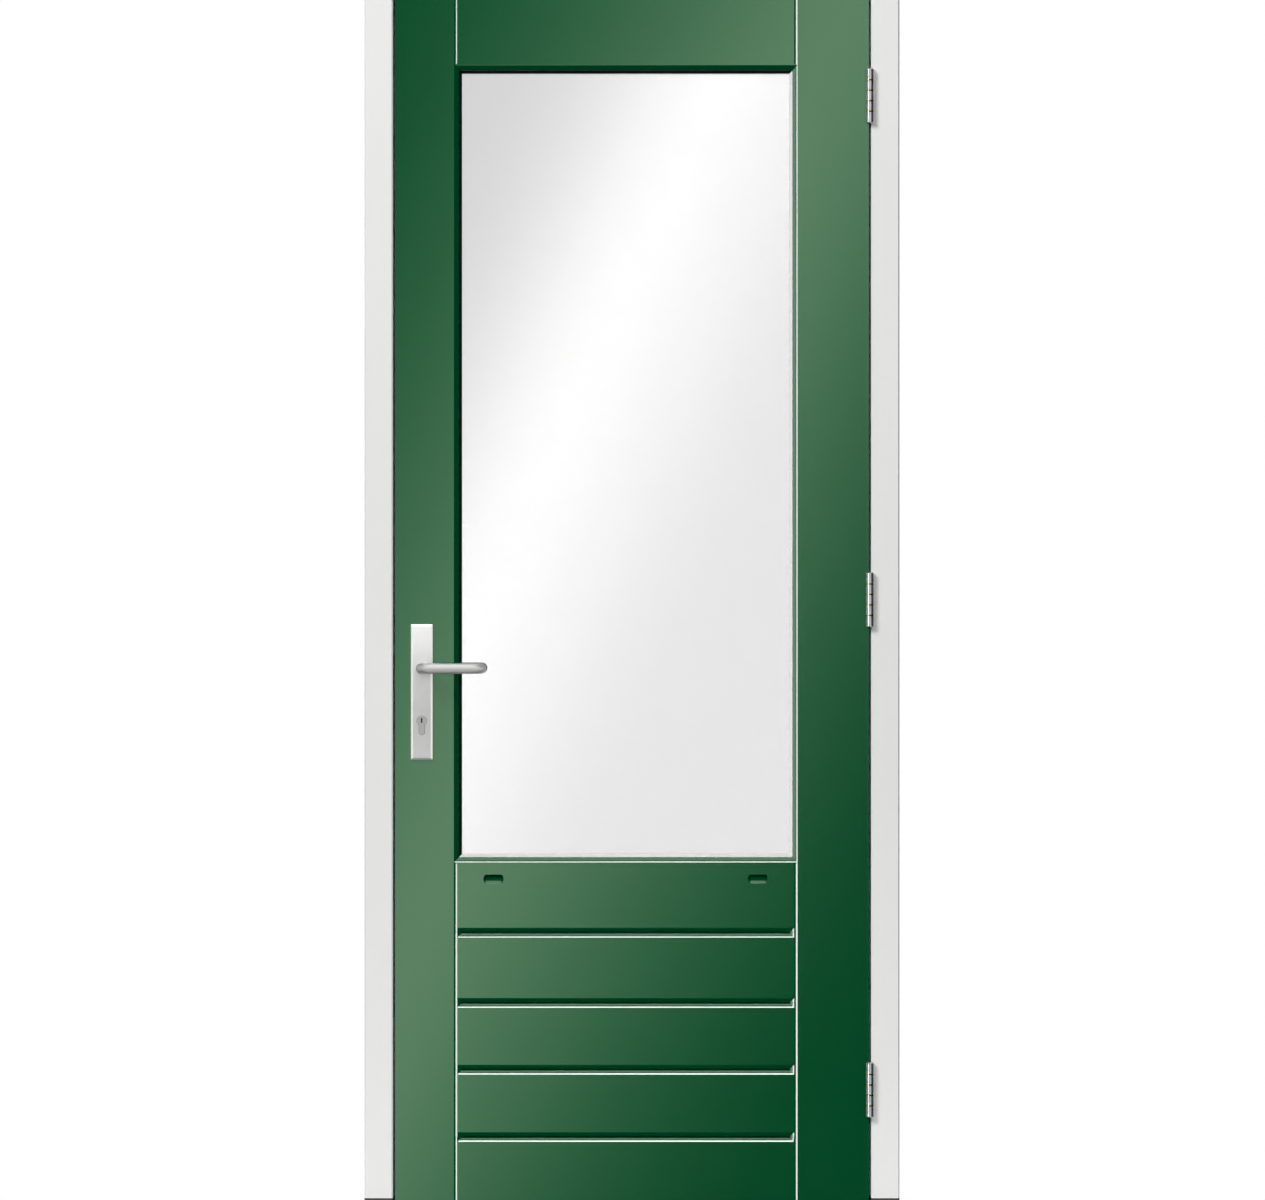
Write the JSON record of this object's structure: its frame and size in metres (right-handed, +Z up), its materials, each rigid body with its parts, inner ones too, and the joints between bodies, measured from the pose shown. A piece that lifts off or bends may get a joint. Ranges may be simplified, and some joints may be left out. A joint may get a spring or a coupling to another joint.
{
  "type": "half-glazed back door in its frame",
  "caption": "Half-glazed green wooden back door in a white frame with a dark threshold: tall pane over horizontal boards, lever handle on a long plate, mortice lock and butt hinges.",
  "frame": {"origin": "middle of the threshold's underside, halfway through the depth of the frame", "axes": "+X to the hinge side as seen from outside, +Y into the house, +Z up"},
  "size_m": [0.937, 0.1826, 2.2205],
  "materials": {
    "green_paint": "gloss dark green paint",
    "white_paint": "satin white paint",
    "threshold_composite": "matt dark composite",
    "bare_wood": "bare beech",
    "seal_rubber": "matt black",
    "black_plastic": "matt black",
    "clear_glass": "clear float glass",
    "spacer_aluminium": "mill finish",
    "satin_aluminium": "satin anodised",
    "nickel_brass": "satin nickel plate",
    "ring_brass": "turned",
    "plated_steel": "zinc plated"
  },
  "bodies": {
    "frame": {"lock_jamb": "white_paint", "hinge_jamb": "white_paint", "head": "white_paint", "threshold": "threshold_composite", "frame_dowels": "bare_wood", "lock_seal": "seal_rubber", "hinge_seal": "seal_rubber", "head_seal": "seal_rubber", "threshold_seal": "seal_rubber", "strike_plate": "plated_steel", "strike_box": "black_plastic", "frame_screws": "plated_steel", "frame_hinge_leaf_top": "plated_steel", "frame_hinge_leaf_middle": "plated_steel", "frame_hinge_leaf_bottom": "plated_steel", "hinge_pins": "plated_steel", "hinge_rings": "ring_brass"},
    "door": {"lock_stile": "green_paint", "hinge_stile": "green_paint", "top_rail": "green_paint", "mid_rail": "green_paint", "upper_board": "green_paint", "middle_board": "green_paint", "lower_board": "green_paint", "bottom_rail": "green_paint", "leaf_dowels": "bare_wood", "outer_pane": "clear_glass", "inner_pane": "clear_glass", "glass_spacer": "spacer_aluminium", "outer_glazing_seal": "seal_rubber", "inner_glazing_seal": "seal_rubber", "setting_blocks": "black_plastic", "left_bead": "green_paint", "right_bead": "green_paint", "top_bead": "green_paint", "bottom_bead": "green_paint", "door_hinge_leaf_top": "plated_steel", "door_hinge_leaf_middle": "plated_steel", "door_hinge_leaf_bottom": "plated_steel", "door_screws": "plated_steel", "lock_case": "plated_steel", "lock_cover": "plated_steel", "forend": "plated_steel", "latch_spring": "plated_steel", "cylinder_body": "nickel_brass", "cylinder_screw": "plated_steel", "outside_plate": "satin_aluminium", "inside_plate": "satin_aluminium", "plate_screws": "plated_steel", "lever_bushes": "black_plastic"},
    "handle": {"outside_lever": "satin_aluminium", "inside_lever": "satin_aluminium", "spindle": "plated_steel", "follower": "plated_steel", "grub_screws": "plated_steel"},
    "latch": {"latch_bolt": "plated_steel"},
    "bolt": {"dead_bolt": "plated_steel"},
    "key_plug": {"outside_plug": "nickel_brass", "inside_plug": "nickel_brass", "cylinder_cam": "plated_steel"}
  },
  "joints": [
    {"name": "door_swing", "type": "hinge", "parent": "frame", "child": "door", "pos_m": [0.41675, -0.0645, 0], "axis": [0, 0, 1], "range_deg": [0, 110]},
    {"name": "handle_turn", "type": "hinge", "parent": "door", "child": "handle", "pos_m": [-0.368, -0.03, 0.99], "axis": [0, 1, 0], "range_deg": [0, 40], "stiffness_Nm_per_rad": 1.5, "springref_deg": -34.38},
    {"name": "latch_slide", "type": "slide", "parent": "door", "child": "latch", "axis": [1, 0, 0], "range_m": [0, 0.0126], "deforming": ["latch_spring"]},
    {"name": "bolt_slide", "type": "slide", "parent": "door", "child": "bolt", "axis": [-1, 0, 0], "range_m": [0, 0.02]},
    {"name": "key_turn", "type": "hinge", "parent": "door", "child": "key_plug", "pos_m": [-0.368, -0.03, 0.898], "axis": [0, 1, 0], "range_deg": [0, 362]}
  ],
  "couplings": [
    {"joint": "latch_slide", "follows": "handle_turn", "m_per_rad": 0.017905},
    {"joint": "key_turn", "follows": "bolt_slide", "rad_per_m": 314.16}
  ]
}
